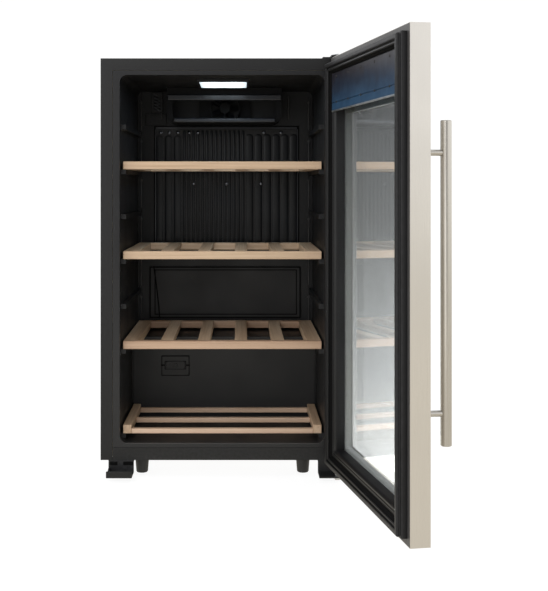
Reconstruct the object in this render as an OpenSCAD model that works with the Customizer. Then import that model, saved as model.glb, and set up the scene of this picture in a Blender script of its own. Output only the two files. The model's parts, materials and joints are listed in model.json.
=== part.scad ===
// Free-standing compressor wine cooler with a glass door, wooden shelves and a bottom rack.
// Origin: on the floor, mid-width, in the plane of the cabinet's front flange.
// +X is to the right, +Y to the back, +Z up. The door is drawn open.

/* [Cabinet] */
// Width of the cabinet
cab_w = 490; // [488:1:492]
// Depth of the cabinet behind its front plane
cab_d = 430; // [430:1:440]
// Height of the cabinet's underside above the floor
cab_bottom = 34.5; // [34:0.5:36]
// Height of the cabinet's top above the floor
cab_top = 844; // [844:1:848]
// Thickness of the painted steel sheet
sheet_t = 1; // [0.8:0.1:1.2]
// Width of the steel wrap's front flange
wrap_flange = 24; // [22:1:25]

/* [Liner] */
// Width of the storage space
liner_w = 413; // [412:1:414]
// Height of the storage space's floor
liner_bottom = 69; // [68:1:70]
// Height of the storage space's ceiling
liner_top = 810.5; // [810:0.5:812]
// Depth of the storage space
liner_d = 391; // [390:1:392]
// Corner radius of the storage space
liner_r = 15; // [12:1:18]
// Wall thickness of the moulded liner
liner_t = 2; // [1.5:0.5:2.5]
// Distance from the front plane to the compressor step
step_y = 240; // [238:1:242]
// Height of the compressor step's top
step_top = 250; // [248:1:252]

/* [Shelves] */
// Height of the lowest shelf ledge
ledge_z0 = 255; // [255:1:256]
// Height from one ledge to the next
ledge_pitch = 91.4; // [91:0.1:91.6]
// Width of a sliding shelf
shelf_w = 404; // [402:1:404]
// Distance from the front plane to a shelf's front edge
shelf_y0 = 20; // [19:1:24]
// Depth of a sliding shelf
shelf_d = 350; // [340:1:352]
// Height of a shelf rail
shelf_t = 16; // [14:1:17]
// Depth of a shelf's front and rear rails
rail_d = 21; // [18:1:24]
// Width of the inner slats
slat_w = 26; // [22:1:30]
// Distance between the centres of the inner slats
slat_pitch = 76; // [74:1:78]

/* [Door] */
// Angle that the door is drawn open
door_open = 99.8; // [90:0.1:100]
// Height of the door's lower edge above the floor
door_bottom = 20.4; // [20.4:0.1:21]
// Height of the door's upper edge above the floor
door_top = 843; // [842:0.5:843]
// Distance of the hinge axis from the cabinet's side
hinge_inset = 15; // [15:0.5:16]
// Distance of the hinge axis ahead of the front plane
hinge_ahead = 27.5; // [27.5:0.1:28]
// Distance from the hinge axis to the door's outer face
door_front = 25; // [24.5:0.1:25.5]
// Depth of the stainless steel edge
steel_d = 33.8; // [33.4:0.1:34]
// Width of the stainless steel frame around the glass
steel_face = 58; // [56:1:58]

/* [Handle] */
// Diameter of the handle bar
handle_dia = 18; // [16:1:20]
// Length of the handle bar
handle_len = 520; // [480:10:540]
// Distance between the handle's standoffs
handle_span = 416; // [400:1:430]
// Distance of the handle's axis from the door's outer face
handle_off = 36; // [34:1:45]
// Distance of the handle's axis from the door's free edge
handle_inset = 29; // [27:1:31]

/* [Feet] */
// Distance of each foot from the middle of the cabinet
foot_x = 165; // [160:1:168]
// Distance of the front feet behind the front plane
foot_front = 44; // [43:1:48]
// Distance of the rear feet behind the front plane
foot_rear = 396; // [390:1:400]
// Diameter of a foot at its top
foot_dia = 29; // [26:1:30]

/* [Hidden] */
$fn = 48;

// Spaces and fits
gap = 0.1;                  // between pieces that meet face to face
cut = 1;                    // how far a cutter runs past the face it cuts
pin_fit = 0.05;             // running clearance between a pin and its hole

// Cabinet
half_w = cab_w / 2;
inside_w = half_w - sheet_t - gap;          // half width inside the wrap
wrap_window = half_w - wrap_flange - 0.3;   // half width inside the wrap's front flange
lug = [5, 6];               // half width and half height of a condenser lug
liner_half = liner_w / 2;
base_t = 1.5;               // sheet of the base plate and the crossbar
base_top = cab_bottom + base_t;
crossbar_h = 24.9;
crossbar_d = 30;
bay_y = 284;                // front of the compressor bay
bay_top = 208;
groove_w = 4;               // groove beside the compressor step
groove_d = 6;
ledge_count = 6;
ledge_in = 10;              // how far a ledge stands off the side wall
ledge_h = 10;
ledge_y0 = 25;
ledge_y1 = 370;
low_ledge_top = 83.4;       // ledge under the bottom rack
low_ledge_y1 = 232;
corner_strip = 8;           // side of the strips in the rear corners
bar_y0 = 0.2;               // front of the crossbar
flange_y = 0.5;             // front of the liner's flange
flange_gap = 0.3;           // between the liner's flange and the steel round it
flange_z = [cab_bottom + crossbar_h + flange_gap, cab_top - wrap_flange - flange_gap];

// Hinges and brackets
hinge_x = half_w - hinge_inset;
pin_r = 3;
bracket_t = 3;
bracket_z = 9;              // height of the bracket plates' underside
bracket_ahead = 42;
bracket_back = 28;
hinge_bracket_x = [193, 243];
left_bracket_x = [-229, -178];
bracket_screws = [[200, 17], [215, 17], [-213, 17], [-188, 17]];
top_screws = [[216, 30], [235, 30]];
screw_r = 2.4;
screw_hole_r = 2.6;
screw_head_r = 5;
bush_r = 5;
bush_l = 18.6;
pin_bore = 20;              // depth of the holes for pins and bushes in the door's ends
hinge_plate_x = [203, 244];
hinge_plate_y = [2, 44];
hinge_arm = 13;             // half width of the top plate's arm

// Feet
stud_r = 4;
nut_r = 7;
nut_h = 12;
foot_edge = 2.5;            // height of a foot's bevelled lower edge

// Evaporator side
back_face = liner_d - gap;  // pieces on the rear wall end here
plate_x = [-166, 173];      // evaporator plate
plate_z = [420, 727];
plate_t = 1.5;
rib_h = 3;
rib_end = 12;               // from the plate's lower edge to its ribs
duct_y = 290;               // front of the duct
duct_half = 131;
duct_z = 730;
duct_t = 2.5;
mouth_half = 118;
mouth_z = [742, 781];
upper_lip = [6, 9];         // how far the lip over the mouth stands out, and its height
fan_z = 769;                // height of the fan's axis
fan_y = 348;                // front of the fan's frame
fan_r = 33;                 // inner radius of the fan's ring
fan_d = 20;                 // depth of the ring
fan_hub_r = 12;
fan_shaft_r = 1.5;
fan_blades = 7;
drain_x = 60;
drain_y = 372;
drain_r = [4, 6];           // inside and outside of the drain tube
sensor_box = [-173, 760, -147, 807];        // as [x0, z0, x1, z1], like those below
rear_cover = [-180, 273, 180, 397];
rear_panel = [-165, 283, 168, 387];         // shallow recess in the rear cover
access_frame = [-138.6, 164.5, -78.3, 206.9];
access_hole = [-129.7, 178, -87.3, 196];
lamp_half = [55, 50, 47];   // half widths of the housing, its opening and the lens's hollow
lamp_y = [80, 230];         // housing
lens_y = [105, 222];        // opening in the housing
lens_fit = 0.2;
lens_drop = 3.2;            // the lens's upper edge is this far below the ceiling
lamp_h = 5;                 // the housing hangs this far below the ceiling
lamp_top = 0.8;             // thickness of the housing above its opening
light_x = 21.5;             // distance of each light from the middle

// Compressor bay
grommet_r = 2.9;            // neck of a grommet
comp_x = 70;                // compressor's axis
comp_y = 360;
comp_r = 60;
comp_plate = [72, 48];      // half width and half depth of its plate
grommet_at = [62, 38];
plate_under = 48;           // underside of the compressor's plate
pan_z = 172;
pan_half = [56, 50];
pan_h = 18;
board_box = [[-225, 298, 36.2], [-95, 380, 92]];
drier_at = [-55, 400];
drier_z = [78, 148];
suction_x = -18;
suction_z = 118;
lead_bend = 16;
lead_z = 80;                // height of the lead to the compressor
return_z = 50;              // height of the lead to the drier
gland_x = -200;
gland_z = 64;
gland_r = 3.6;
gland_l = 18;

// Condenser behind the back panel
cond_y = 441;
cond_tube_r = 2.5;
cond_wire_r = 0.8;
cond_runs = 9;
cond_pitch = 60;
cond_z0 = 255;
cond_half = 180;

// Door, in its closed place
outer_y = -hinge_ahead - door_front;
steel_back = outer_y + steel_d;
steel_t = 1;
door_half = half_w;
trim_inset = 12;            // inner trim and gasket from the door's edge
glass_y = outer_y + steel_t + 0.2;
glass_t = 4;
glass_half = 205.4;
glass_z = [59.5, 812];
inner_glass_top = 742;
inner_glass_y = glass_y + 14.8;
glass_fit = 0.2;            // between the outer glass and the frame round it
spacer_outer = [-198, 64, 198, inner_glass_top - 0.5];
spacer_inner = [-184, 77, 184, 728];
trim_back = outer_y + 41;   // rear face of the inner trim
trim_window = [-195, 70, 195, 802];
gasket_w = 23;
gasket_face = outer_y + 52; // rear face of the gasket
gasket_base = 5;            // thickness of the gasket's wide base
cover_half = 204;
cover_z = [732.4, 806];
cover_rim = [-194.7, 734, 194.7, 801.7];
clip_z = [749.3, 798.5];    // rows of clip heads on the control cover
clip_pitch = 85;
board_half = 150;
board_z = [750, 795];
key_z = 772;                // height of the display and the touch keys
handle_x = -door_half + handle_inset;
handle_mid = (door_bottom + door_top) / 2;
standoff_r = 5;
wall = 2;                   // wall of the small moulded covers

// Shelves and bottom rack
slat_t = 12;                // thickness of the inner slats
end_slat_w = 30;
rack_d = 217;
rack_z = low_ledge_top + gap;
rack_t = 10;                // height of the cross rails
rack_side_t = 17.5;         // height of the side rails
rack_side_w = 17;
rack_rail_d = 13;

steel_black = [0.19, 0.2, 0.21];
plastic_black = [0.12, 0.12, 0.13];
stainless = [0.78, 0.77, 0.74];
zinc = [0.6, 0.61, 0.62];
beech = [0.8, 0.65, 0.48];
copper = [0.72, 0.42, 0.28];
clear_glass = [0.75, 0.82, 0.84, 0.4];

// A box between two corners
module box(low, high) {
    translate(low) cube(high - low);
}

// Extrudes an outline drawn in X and Z from one Y to another
module along_y(y0, y1) {
    translate([0, y1, 0]) rotate([90, 0, 0]) linear_extrude(y1 - y0) children();
}

// A cylinder whose axis runs along Y
module rod_y(x, z, y0, y1, r) {
    translate([x, y0, z]) rotate([-90, 0, 0]) cylinder(h = y1 - y0, r = r);
}

// A cylinder that stands on a point
module post(x, y, z0, z1, r) {
    translate([x, y, z0]) cylinder(h = z1 - z0, r = r);
}

// A round tube along straight legs that meet at right angles, with round bends
module tube_path(points, r, bend_r) {
    last = len(points) - 1;
    way = [for (i = [0:last - 1]) (points[i + 1] - points[i]) / norm(points[i + 1] - points[i])];
    for (i = [0:last - 1]) {
        from = points[i] + (i > 0 ? bend_r : 0) * way[i];
        to = points[i + 1] - (i < last - 1 ? bend_r : 0) * way[i];
        along(from, way[i]) cylinder(h = norm(to - from), r = r);
    }
    for (i = [1:last - 1]) {
        a = way[i - 1];
        b = way[i];
        n = cross(a, b);
        m = points[i] - bend_r * a + bend_r * b;
        multmatrix([[-b[0], a[0], n[0], m[0]], [-b[1], a[1], n[1], m[1]], [-b[2], a[2], n[2], m[2]]])
            rotate_extrude(angle = 90) translate([bend_r, 0]) circle(r);
    }
}

// Stands a piece at a point, with its +Z turned to a row axis
module along(point, way) {
    upright = [way[2] < 0 ? 180 : 0, 0, 0];
    turn = way[0] != 0 ? [0, 90 * sign(way[0]), 0] : way[1] != 0 ? [-90 * sign(way[1]), 0, 0] : upright;
    translate(point) rotate(turn) children();
}

// A rectangle with round corners
module rounded(x0, z0, x1, z1, r) {
    translate([x0 + r, z0]) square([x1 - x0 - 2 * r, z1 - z0]);
    translate([x0, z0 + r]) square([x1 - x0, z1 - z0 - 2 * r]);
    for (x = [x0 + r, x1 - r], z = [z0 + r, z1 - r]) translate([x, z]) circle(r);
}

// The same for a box given as [x0, z0, x1, z1] and moved inwards by a distance
module rounded_box(b, r, inset = 0) rounded(b[0] + inset, b[1] + inset, b[2] - inset, b[3] - inset, r);

// A flat rectangular ring; outer and inner are [x0, z0, x1, z1]
module ring_y(outer, inner, y0, y1) {
    difference() {
        box([outer[0], y0, outer[1]], [outer[2], y1, outer[3]]);
        box([inner[0], y0 - cut, inner[1]], [inner[2], y1 + cut, inner[3]]);
    }
}

// The door's outline moved inwards by a distance, as [x0, z0, x1, z1]
function door_edge(inset) = [-door_half + inset, door_bottom + inset, door_half - inset, door_top - inset];

// The outer glass's outline moved inwards by a distance
function glass_edge(inset) =
    [-glass_half + inset, glass_z[0] + inset, glass_half - inset, glass_z[1] - inset];

// Swings a piece drawn in the closed door to the angle the door is drawn at
module on_door() {
    translate([hinge_x, -hinge_ahead, 0]) rotate(door_open) translate([-hinge_x, hinge_ahead, 0]) children();
}

// ---------- Cabinet ----------

// Steel sheet folded over the sides and the top, with a flange round the front
module cabinet_wrap() color(steel_black) difference() {
    box([-half_w, 0, cab_bottom], [half_w, cab_d, cab_top]);
    box([-half_w + sheet_t, sheet_t, cab_bottom - cut], [half_w - sheet_t, cab_d + cut, cab_top - sheet_t]);
    box([-half_w + wrap_flange, -cut, cab_bottom - cut],
        [half_w - wrap_flange, 2 * sheet_t, cab_top - wrap_flange]);
    for (p = top_screws) post(p[0], p[1], cab_top - 2 * sheet_t, cab_top + cut, screw_hole_r);
}

// C-shaped rail below the liner's opening
module front_crossbar() color(steel_black) difference() {
    box([-wrap_window, bar_y0, cab_bottom], [wrap_window, crossbar_d, cab_bottom + crossbar_h]);
    box([-half_w, bar_y0 + base_t, base_top],
        [half_w, crossbar_d + cut, cab_bottom + crossbar_h - base_t]);
    for (p = bracket_screws) post(p[0], p[1], cab_bottom - cut, base_top + cut, screw_hole_r);
}

// Zinc-plated floor of the cabinet, holed for the feet and the compressor's grommets
module base_plate() color(zinc) difference() {
    box([-inside_w, crossbar_d + gap, cab_bottom], [inside_w, cab_d, base_top]);
    at_feet() post(0, 0, cab_bottom - cut, base_top + cut, stud_r + 0.2);
    at_grommets() post(0, 0, cab_bottom - cut, base_top + cut, grommet_r + gap);
}

// Rear sheet with four pressed lugs that carry the condenser
module back_panel() color(steel_black) {
    box([-inside_w, cab_d - sheet_t, bay_top + gap], [inside_w, cab_d, cab_top - sheet_t - gap]);
    for (side = [-1, 1], run = [1, cond_runs - 2])
        translate([side * (cond_half - 8), 0, cond_z0 + run * cond_pitch])
            box([-lug[0], cab_d - sheet_t, -lug[1]], [lug[0], cond_y - cond_tube_r - gap, lug[1]]);
}

// The storage space, grown outwards by a wall thickness and starting at a chosen Y
module cavity(grow, y0) difference() {
    along_y(y0, liner_d + grow)
        rounded(-liner_half - grow, liner_bottom - grow, liner_half + grow, liner_top + grow, liner_r + grow);
    difference() {
        box([-half_w, step_y + grow, 0], [half_w, cab_d, step_top - grow]);
        for (side = [-1, 1])
            translate([side * (liner_half - groove_w / 2), step_y, step_top / 2])
                cube([groove_w + 2 * grow, 2 * (groove_d + grow), step_top + cut], center = true);
    }
}

// Foam poured between the wrap and the liner, open round the compressor bay
module foam_insulation() color([0.86, 0.8, 0.62]) difference() {
    box([-inside_w, flange_y + liner_t + gap, base_top + gap],
        [inside_w, cab_d - sheet_t - gap, cab_top - sheet_t - gap]);
    cavity(liner_t + gap, -cut);
    box([-half_w, -cut, 0], [half_w, crossbar_d + gap, cab_bottom + crossbar_h + gap]);
    box([-half_w, bay_y, 0], [half_w, cab_d + cut, bay_top]);
    at_feet() post(0, 0, 0, base_top + nut_h + 6, nut_r + 0.2);
    for (p = top_screws) post(p[0], p[1], cab_top - 14, cab_top, screw_hole_r);
    post(drain_x, drain_y, bay_top - cut, step_top, drain_r[1] + 0.2);
}

// Moulded liner with its front flange, shelf ledges and rear corner strips
module inner_liner() color(plastic_black) {
    difference() {
        union() {
            cavity(liner_t, flange_y);
            box([-wrap_window, flange_y, flange_z[0]], [wrap_window, flange_y + liner_t, flange_z[1]]);
        }
        cavity(0, -cut);
        post(drain_x, drain_y, step_top - 2 * liner_t, step_top + cut, drain_r[0]);
    }
    intersection() {
        cavity(liner_t / 2, ledge_y0);
        for (side = [0, 1]) mirror([side, 0, 0]) wall_ledges();
    }
}

// Ledges and corner strip of the right wall, which reach into its thickness
module wall_ledges() {
    for (level = [0:ledge_count - 1]) ledge(ledge_z0 + level * ledge_pitch, ledge_y1);
    ledge(low_ledge_top, low_ledge_y1);
    box([liner_half - corner_strip, liner_d - corner_strip, step_top - cut],
        [liner_half + liner_t, liner_d + liner_t, liner_top + liner_t]);
}

// A ledge on the right wall, given by the height of its top and by its far end
module ledge(top, y1)
    box([liner_half - ledge_in, ledge_y0, top - ledge_h], [liner_half + liner_t, y1, top]);

// ---------- Inside the storage space ----------

// One vertical rib with round ends
module rib(x, width, z0, z1) {
    along_y(back_face - plate_t - rib_h, back_face - plate_t / 2) rounded(x, z0, x + width, z1, width / 2.1);
}

// A row of ribs from one X, given by their pitch, their width and how far they stop below the plate's top
module rib_row(x, count, pitch, width, stop)
    for (i = [0:count - 1]) rib(x + pitch * i, width, plate_z[0] + rib_end, plate_z[1] - stop);

// Cooling plate on the rear wall: narrow ribs in the middle, wide ones at both sides
module evaporator_plate() color(plastic_black) {
    along_y(back_face - plate_t, back_face) rounded(plate_x[0], plate_z[0], plate_x[1], plate_z[1], 14);
    rib_row(plate_x[0] + 4, 3, 19.7, 14, 22);
    rib_row(-102, 14, 10.4, 6.8, 10);
    rib_row(47, 6, 20.6, 15.5, 22);
}

// Flat cover over the pipe joints, with a shallow panel
module rear_lower_cover() color(plastic_black) difference() {
    along_y(back_face - 3, back_face) rounded_box(rear_cover, 8);
    along_y(back_face - 3 - cut, back_face - 2) rounded_box(rear_panel, 6);
}

// Outline of the duct, shrunk by a wall
module duct_outline(shrink) intersection() {
    rounded(-duct_half + shrink, duct_z + shrink, duct_half - shrink, liner_top + 40, 20);
    translate([-duct_half, 0]) square([2 * duct_half, liner_top - gap - shrink]);
}

// Hood over the fan with a wide mouth and two lips
module evaporator_duct() color(plastic_black) {
    difference() {
        along_y(duct_y, back_face) duct_outline(0);
        along_y(duct_y + duct_t, back_face + cut) duct_outline(duct_t);
        along_y(duct_y - cut, duct_y + 2 * duct_t)
            rounded(-mouth_half, mouth_z[0], mouth_half, mouth_z[1], 8);
    }
    box([-duct_half, duct_y - upper_lip[0], mouth_z[1]],
        [duct_half, duct_y + 0.5, mouth_z[1] + upper_lip[1]]);
    box([-mouth_half, duct_y - 3, duct_z + 0.5], [mouth_half, duct_y + 0.5, mouth_z[0]]);
}

// Fan ring with three struts, standing on a plate
module fan_frame() color(plastic_black) {
    difference() {
        union() {
            rod_y(0, fan_z, fan_y, fan_y + fan_d, fan_r + 3);
            box([-60, fan_y + fan_d - 2, fan_z - 36], [60, fan_y + fan_d + 1, fan_z + 36]);
            for (x = [-52, 52])
                box([x - 4, fan_y + fan_d, fan_z - 20], [x + 4, back_face, fan_z + 20]);
        }
        rod_y(0, fan_z, fan_y - cut, fan_y + fan_d + 2, fan_r);
    }
    rod_y(0, fan_z, fan_y, fan_y + 2, fan_hub_r);
    for (a = [90, 210, 330])
        translate([0, fan_y, fan_z]) rotate([0, a, 0]) box([fan_hub_r - 2, 0, -1.5], [fan_r + 1, 2, 1.5]);
}

// Motor can and shaft behind the fan's hub
module fan_motor() color(zinc) {
    rod_y(0, fan_z, fan_y + 2 + gap, fan_y + 9, fan_hub_r - 1);
    rod_y(0, fan_z, fan_y + 8, fan_y + fan_d, fan_shaft_r);
}

// Hub with slanted blades, turning on the motor's shaft
module fan_rotor() color(plastic_black) difference() {
    union() {
        rod_y(0, fan_z, fan_y + fan_d / 2, fan_y + fan_d, fan_hub_r + 0.5);
        for (i = [0:fan_blades - 1])
            translate([0, fan_y + 15, fan_z]) rotate([0, i * 360 / fan_blades, 0]) rotate([36, 0, 0])
                box([fan_hub_r - 1, -0.7, -6.5], [fan_r - 2.5, 0.7, 6.5]);
    }
    rod_y(0, fan_z, fan_y + 9, fan_y + fan_d + 2, fan_shaft_r + pin_fit);
}

// Slotted cap over the temperature sensor
module sensor_cover() color(plastic_black) difference() {
    along_y(back_face - 14, back_face) rounded_box(sensor_box, 3);
    along_y(back_face - 14 + wall, back_face + cut) rounded_box(sensor_box, 2, wall);
    for (i = [0:4])
        translate([0, back_face - 15, sensor_box[1] + 7 + 7 * i])
            box([sensor_box[0] + 5, 0, 0], [sensor_box[2] - 5, 4, 3]);
}

// Tray on the ceiling that holds the light strip
module lamp_housing() color(plastic_black) difference() {
    box([-lamp_half[0], lamp_y[0], liner_top - lamp_h], [lamp_half[0], lamp_y[1], liner_top - gap]);
    box([-lamp_half[1], lens_y[0], liner_top - lamp_h - cut],
        [lamp_half[1], lens_y[1], liner_top - lamp_top]);
}

// Clear cap that closes the tray from below
module lamp_lens() color([0.95, 0.97, 1]) difference() {
    box([-lamp_half[1] + lens_fit, lens_y[0] + lens_fit, liner_top - lamp_h - 1],
        [lamp_half[1] - lens_fit, lens_y[1] - lens_fit, liner_top - lens_drop]);
    box([-lamp_half[2], lens_y[0] + 3, liner_top - lamp_h],
        [lamp_half[2], lens_y[1] - 3, liner_top - lens_drop + cut]);
}

// Strip with two lights
module led_board() color([0.9, 0.9, 0.9]) {
    box([-40, 130, liner_top - 2.4], [40, 190, liner_top - lamp_top - gap]);
    for (x = [-light_x, light_x]) post(x, 160, liner_top - 3.6, liner_top - 2, 5);
}

// Frame of the small access cover in the compressor step
module access_cover() color(plastic_black) difference() {
    along_y(step_y - 2.5, step_y - gap) rounded_box(access_frame, 4);
    along_y(step_y - 4, step_y + cut) rounded_box(access_hole, 4);
}

// Clip-in insert with a round boss and two side pins
module access_cover_insert() color(plastic_black) {
    mid_x = (access_hole[0] + access_hole[2]) / 2;
    mid_z = (access_hole[1] + access_hole[3]) / 2;
    along_y(step_y - 3.6, step_y - gap) rounded_box(access_hole, 3.6, 0.5);
    rod_y(mid_x, mid_z, step_y - 4.6, step_y - 3, 4.5);
    for (side = [-1, 1])
        translate([mid_x + side * 20.5, step_y - 3.1, mid_z]) cube([5, 1, 2.4], center = true);
}

// ---------- Hinges, brackets and feet ----------

// Plate on the cabinet's top whose round-ended arm carries the upper pin
module top_hinge_plate() color(steel_black) difference() {
    translate([0, 0, cab_top]) linear_extrude(bracket_t) {
        translate([hinge_plate_x[0], hinge_plate_y[0]])
            square([hinge_plate_x[1] - hinge_plate_x[0], hinge_plate_y[1] - hinge_plate_y[0]]);
        translate([hinge_x - hinge_arm, -hinge_ahead])
            square([2 * hinge_arm, hinge_ahead + 2 * hinge_plate_y[0]]);
        translate([hinge_x, -hinge_ahead]) circle(hinge_arm);
    }
    post(hinge_x, -hinge_ahead, cab_top - cut, cab_top + 2 * bracket_t, pin_r + pin_fit);
    for (p = top_screws) post(p[0], p[1], cab_top - cut, cab_top + 2 * bracket_t, screw_hole_r);
}

// Z-shaped bracket under a front corner; edge is the X of its gusset
module corner_bracket(x, edge) {
    box([x[0], 0, cab_bottom - bracket_t], [x[1], bracket_back, cab_bottom]);
    box([x[0], 0, bracket_z], [x[1], bracket_t, cab_bottom]);
    box([x[0], -bracket_ahead, bracket_z], [x[1], bracket_t, bracket_z + bracket_t]);
    translate([edge, 0, bracket_z + bracket_t]) rotate([90, 0, 90]) linear_extrude(bracket_t)
        polygon([[4 - bracket_ahead, -0.5], [0.5, -0.5], [0.5, 7], [-4, 7]]);
}

// Carries the door's lower pin
module lower_hinge_bracket() color(steel_black) difference() {
    corner_bracket(hinge_bracket_x, hinge_bracket_x[1] - bracket_t);
    post(hinge_x, -hinge_ahead, 0, 20, pin_r + pin_fit);
    for (p = [bracket_screws[0], bracket_screws[1]]) post(p[0], p[1], 25, base_top, screw_hole_r);
}

// Its twin without a pin, for a door hung on the left
module left_corner_bracket() color(steel_black) difference() {
    corner_bracket(left_bracket_x, left_bracket_x[0]);
    for (p = [bracket_screws[2], bracket_screws[3]]) post(p[0], p[1], 25, base_top, screw_hole_r);
}

// Six alike: two in the top plate, two in each bracket
module hinge_screws() color(zinc) {
    for (p = top_screws) translate([p[0], p[1], cab_top + bracket_t + gap]) hinge_screw();
    for (p = bracket_screws)
        translate([p[0], p[1], cab_bottom - bracket_t - gap]) rotate([180, 0, 0]) hinge_screw();
}

module hinge_screw() {
    cylinder(h = 2.2, r = screw_head_r);
    translate([0, 0, -12]) cylinder(h = 12.5, r = screw_r);
}

// Headed top pin, and a bottom pin with a hexagon head and a collar that carries the door
module hinge_pins() color(zinc) translate([hinge_x, -hinge_ahead, 0]) {
    post(0, 0, door_top - 18, cab_top + bracket_t + 0.5, pin_r);
    post(0, 0, cab_top + bracket_t + gap, cab_top + bracket_t + 2.3, 5);
    translate([0, 0, 3]) cylinder(h = bracket_z - 3 - gap, r = 6, $fn = 6);
    post(0, 0, 8, door_bottom + 17, pin_r);
    post(0, 0, bracket_z + bracket_t + gap, door_bottom - 0.4, 5.5);
}

module at_feet() {
    for (side = [-1, 1], y = [foot_front, foot_rear]) translate([side * foot_x, y, 0]) children();
}

// Threaded inserts in the base plate
module foot_nuts() color(zinc) at_feet() difference() {
    post(0, 0, base_top + gap, base_top + nut_h, nut_r);
    post(0, 0, base_top - cut, base_top + nut_h + cut, stud_r + pin_fit);
}

// Levelling foot: a round-edged tapered cup on a stud
module foot(side, y) color(plastic_black) translate([side * foot_x, y, 0]) {
    cylinder(h = foot_edge, r1 = foot_dia / 2 - 4, r2 = foot_dia / 2 - foot_edge);
    translate([0, 0, foot_edge])
        cylinder(h = cab_bottom - foot_edge - 0.5, r1 = foot_dia / 2 - foot_edge, r2 = foot_dia / 2);
    post(0, 0, cab_bottom - 10, base_top + nut_h + 3, stud_r);
}

module foot_front_left() foot(-1, foot_front);
module foot_front_right() foot(1, foot_front);
module foot_rear_left() foot(-1, foot_rear);
module foot_rear_right() foot(1, foot_rear);

// ---------- Compressor bay and condenser ----------

module at_grommets() {
    for (x = [-1, 1], y = [-1, 1])
        translate([comp_x + x * grommet_at[0], comp_y + y * grommet_at[1], 0]) children();
}

// Sealed compressor: a domed shell on a flat mounting plate
module compressor() color([0.1, 0.1, 0.11]) {
    translate([comp_x, comp_y, 0]) {
        rotate_extrude() intersection() {
            rounded(-comp_r, plate_under + 3, comp_r, pan_z - 2, 26);
            square([comp_r, pan_z]);
        }
        box([-comp_plate[0], -comp_plate[1], plate_under], [comp_plate[0], comp_plate[1], plate_under + 4]);
    }
}

// Rubber mounts between the base plate and the compressor
module compressor_grommets() color(plastic_black) at_grommets() {
    post(0, 0, base_top + gap, plate_under - gap, 9);
    post(0, 0, cab_bottom, base_top + cut, grommet_r);
}

// Box with the starting relay, on the compressor's side
module start_relay_box() color(plastic_black)
    box([comp_x + comp_r + 0.4, comp_y - 22, 85], [comp_x + comp_r + 26, comp_y + 22, 140]);

// Tray on the compressor where the drained water evaporates
module drain_pan() color(plastic_black) difference() {
    box([comp_x - pan_half[0], comp_y - pan_half[1], pan_z - wall + gap],
        [comp_x + pan_half[0], comp_y + pan_half[1], pan_z + pan_h]);
    box([comp_x - pan_half[0] + wall, comp_y - pan_half[1] + wall, pan_z + gap],
        [comp_x + pan_half[0] - wall, comp_y + pan_half[1] - wall, pan_z + pan_h + cut]);
}

// Leads water from the liner's floor into the pan
module drain_tube() color(plastic_black) difference() {
    post(drain_x, drain_y, pan_z + 10, step_top - liner_t - gap, drain_r[1]);
    post(drain_x, drain_y, pan_z + 9, step_top, drain_r[0]);
}

// Runs joined by half turns, with leads to the compressor and to the drier
module condenser_tube() color(steel_black) {
    top_z = cond_z0 + (cond_runs - 1) * cond_pitch;
    lead_x = cond_half + lead_bend;
    return_x = -cond_half - cond_pitch / 2 - 12;
    for (i = [1:cond_runs - 2])
        along([-cond_half, cond_y, cond_z0 + i * cond_pitch], [1, 0, 0])
            cylinder(h = 2 * cond_half, r = cond_tube_r);
    for (i = [0:cond_runs - 2]) {
        side = i % 2 == 0 ? -1 : 1;
        translate([side * cond_half, cond_y, cond_z0 + (i + 0.5) * cond_pitch]) rotate([90, 0, 0])
            rotate(side > 0 ? -90 : 90) rotate_extrude(angle = 180)
                translate([cond_pitch / 2, 0]) circle(cond_tube_r);
    }
    tube_path([[-cond_half, cond_y, cond_z0], [lead_x, cond_y, cond_z0], [lead_x, cond_y, lead_z],
        [lead_x, comp_y, lead_z], [comp_x + comp_r + 0.3, comp_y, lead_z]], cond_tube_r, lead_bend);
    tube_path([[cond_half, cond_y, top_z], [return_x, cond_y, top_z], [return_x, cond_y, return_z],
        [drier_at[0], cond_y, return_z], [drier_at[0], drier_at[1], return_z],
        [drier_at[0], drier_at[1], drier_z[0] - 10]], cond_tube_r, lead_bend);
}

// Upright wires welded across the runs
module condenser_wires() color(steel_black)
    for (i = [-10:10])
        post(16 * i, cond_y + cond_tube_r + cond_wire_r + gap, cond_z0 - 15,
            cond_z0 + (cond_runs - 1) * cond_pitch + 15, cond_wire_r);

// Drier cartridge with tapered ends and a thin capillary up to the foam
module filter_drier() color(copper) translate([drier_at[0], drier_at[1], 0]) {
    post(0, 0, drier_z[0], drier_z[1], 9.5);
    translate([0, 0, drier_z[1]]) cylinder(h = 10, r1 = 9.5, r2 = 3);
    translate([0, 0, drier_z[0] - 9.9]) cylinder(h = 9.9, r1 = 3, r2 = 9.5);
    post(0, 0, drier_z[1] + 9, bay_top - gap, 1.2);
}

// Return tube from the compressor up to the foam
module suction_line() color(copper)
    tube_path([[comp_x - comp_r - 0.3, comp_y, suction_z], [suction_x, comp_y, suction_z],
        [suction_x, comp_y, bay_top - gap]], 4, lead_bend);

// Housing of the power board, with cooling slots
module power_board_box() color(plastic_black) difference() {
    box(board_box[0], board_box[1]);
    for (i = [0:5])
        translate([-180 + 14 * i, 340, board_box[1][2] - 3]) cube([6, board_box[1][1] - 350, 3 + cut]);
}

// Strain relief where a mains lead would enter
module cord_gland() color(plastic_black) translate([0, board_box[1][1], 0]) difference() {
    union() {
        rod_y(gland_x, gland_z, gap, 5, 10);
        rod_y(gland_x, gland_z, 4, gland_l, 7);
    }
    rod_y(gland_x, gland_z, -cut, gland_l + cut, gland_r);
}

// ---------- Door ----------

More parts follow.
